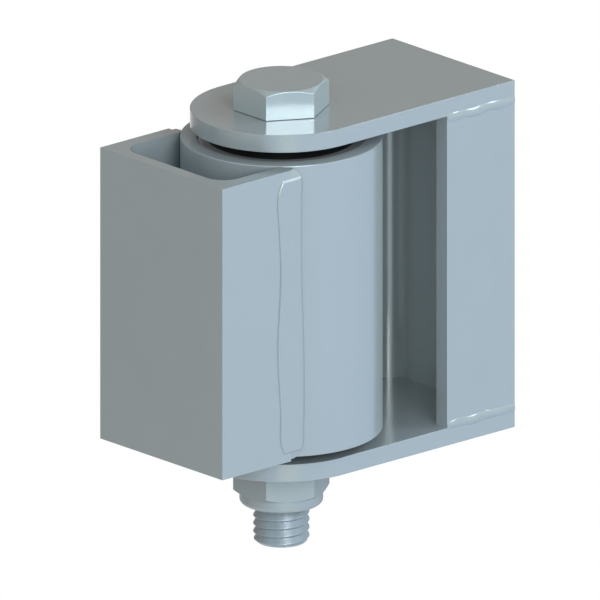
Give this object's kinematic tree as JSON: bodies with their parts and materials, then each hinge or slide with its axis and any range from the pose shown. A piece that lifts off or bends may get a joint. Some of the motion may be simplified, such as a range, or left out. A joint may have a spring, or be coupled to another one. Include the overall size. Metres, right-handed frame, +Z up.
{
  "type": "weld-on ball bearing hinge",
  "caption": "Weld-on hinge for a gate: a channelled barrel turns on sealed ball bearings between the plates of a bolted clevis.",
  "frame": {"origin": "middle of the flat outer face of the post channel's web, where the hinge is welded to its post", "axes": "+X out of that weld face and away from the barrel, +Y towards the rear side of the hinge, +Z up along the pivot towards the bolt's head"},
  "size_m": [0.0864, 0.0444, 0.1066],
  "materials": {
    "channel_steel": "satin zinc over mild steel",
    "plate_steel": "satin zinc over mild steel",
    "barrel_steel": "turned, satin zinc",
    "weld_steel": "smooth fused bead, zinc over",
    "bolt_steel": "bright zinc",
    "nut_steel": "bright zinc",
    "spacer_steel": "turned, plain",
    "bearing_steel": "ground and polished",
    "cage_steel": "pressed strip",
    "ball_steel": "polished",
    "seal_rubber": "matt black",
    "insert_plastic": "natural nylon"
  },
  "bodies": {
    "clevis": {"post_channel": "channel_steel", "top_plate": "plate_steel", "bottom_plate": "plate_steel", "weld_top_front": "weld_steel", "weld_top_rear": "weld_steel", "weld_bottom_front": "weld_steel", "weld_bottom_rear": "weld_steel", "hinge_bolt": "bolt_steel", "lock_nut": "nut_steel", "nut_insert": "insert_plastic", "upper_spacer_ring": "spacer_steel", "lower_spacer_ring": "spacer_steel", "spacer_sleeve": "spacer_steel", "upper_inner_ring": "bearing_steel", "lower_inner_ring": "bearing_steel"},
    "barrel": {"barrel_tube": "barrel_steel", "gate_channel": "channel_steel", "weld_gate_front": "weld_steel", "weld_gate_rear": "weld_steel", "upper_outer_ring": "bearing_steel", "lower_outer_ring": "bearing_steel", "upper_bearing_top_seal": "seal_rubber", "upper_bearing_bottom_seal": "seal_rubber", "lower_bearing_top_seal": "seal_rubber", "lower_bearing_bottom_seal": "seal_rubber"},
    "upper_ball_set": {"upper_balls": "ball_steel", "upper_cage": "cage_steel"},
    "lower_ball_set": {"lower_balls": "ball_steel", "lower_cage": "cage_steel"}
  },
  "joints": [
    {"name": "hinge_turn", "type": "hinge", "parent": "clevis", "child": "barrel", "pos_m": [-0.0509, 0, 0], "axis": [0, 0, 1], "range_deg": [-110, 110]},
    {"name": "upper_balls_roll", "type": "hinge", "parent": "clevis", "child": "upper_ball_set", "pos_m": [-0.0509, 0, 0.0272], "axis": [0, 0, 1], "range_deg": [-75, 75]},
    {"name": "lower_balls_roll", "type": "hinge", "parent": "clevis", "child": "lower_ball_set", "pos_m": [-0.0509, 0, -0.0272], "axis": [0, 0, 1], "range_deg": [-75, 75]}
  ],
  "couplings": [
    {"joint": "upper_balls_roll", "follows": "hinge_turn", "ratio": 0.662},
    {"joint": "lower_balls_roll", "follows": "hinge_turn", "ratio": 0.662}
  ]
}
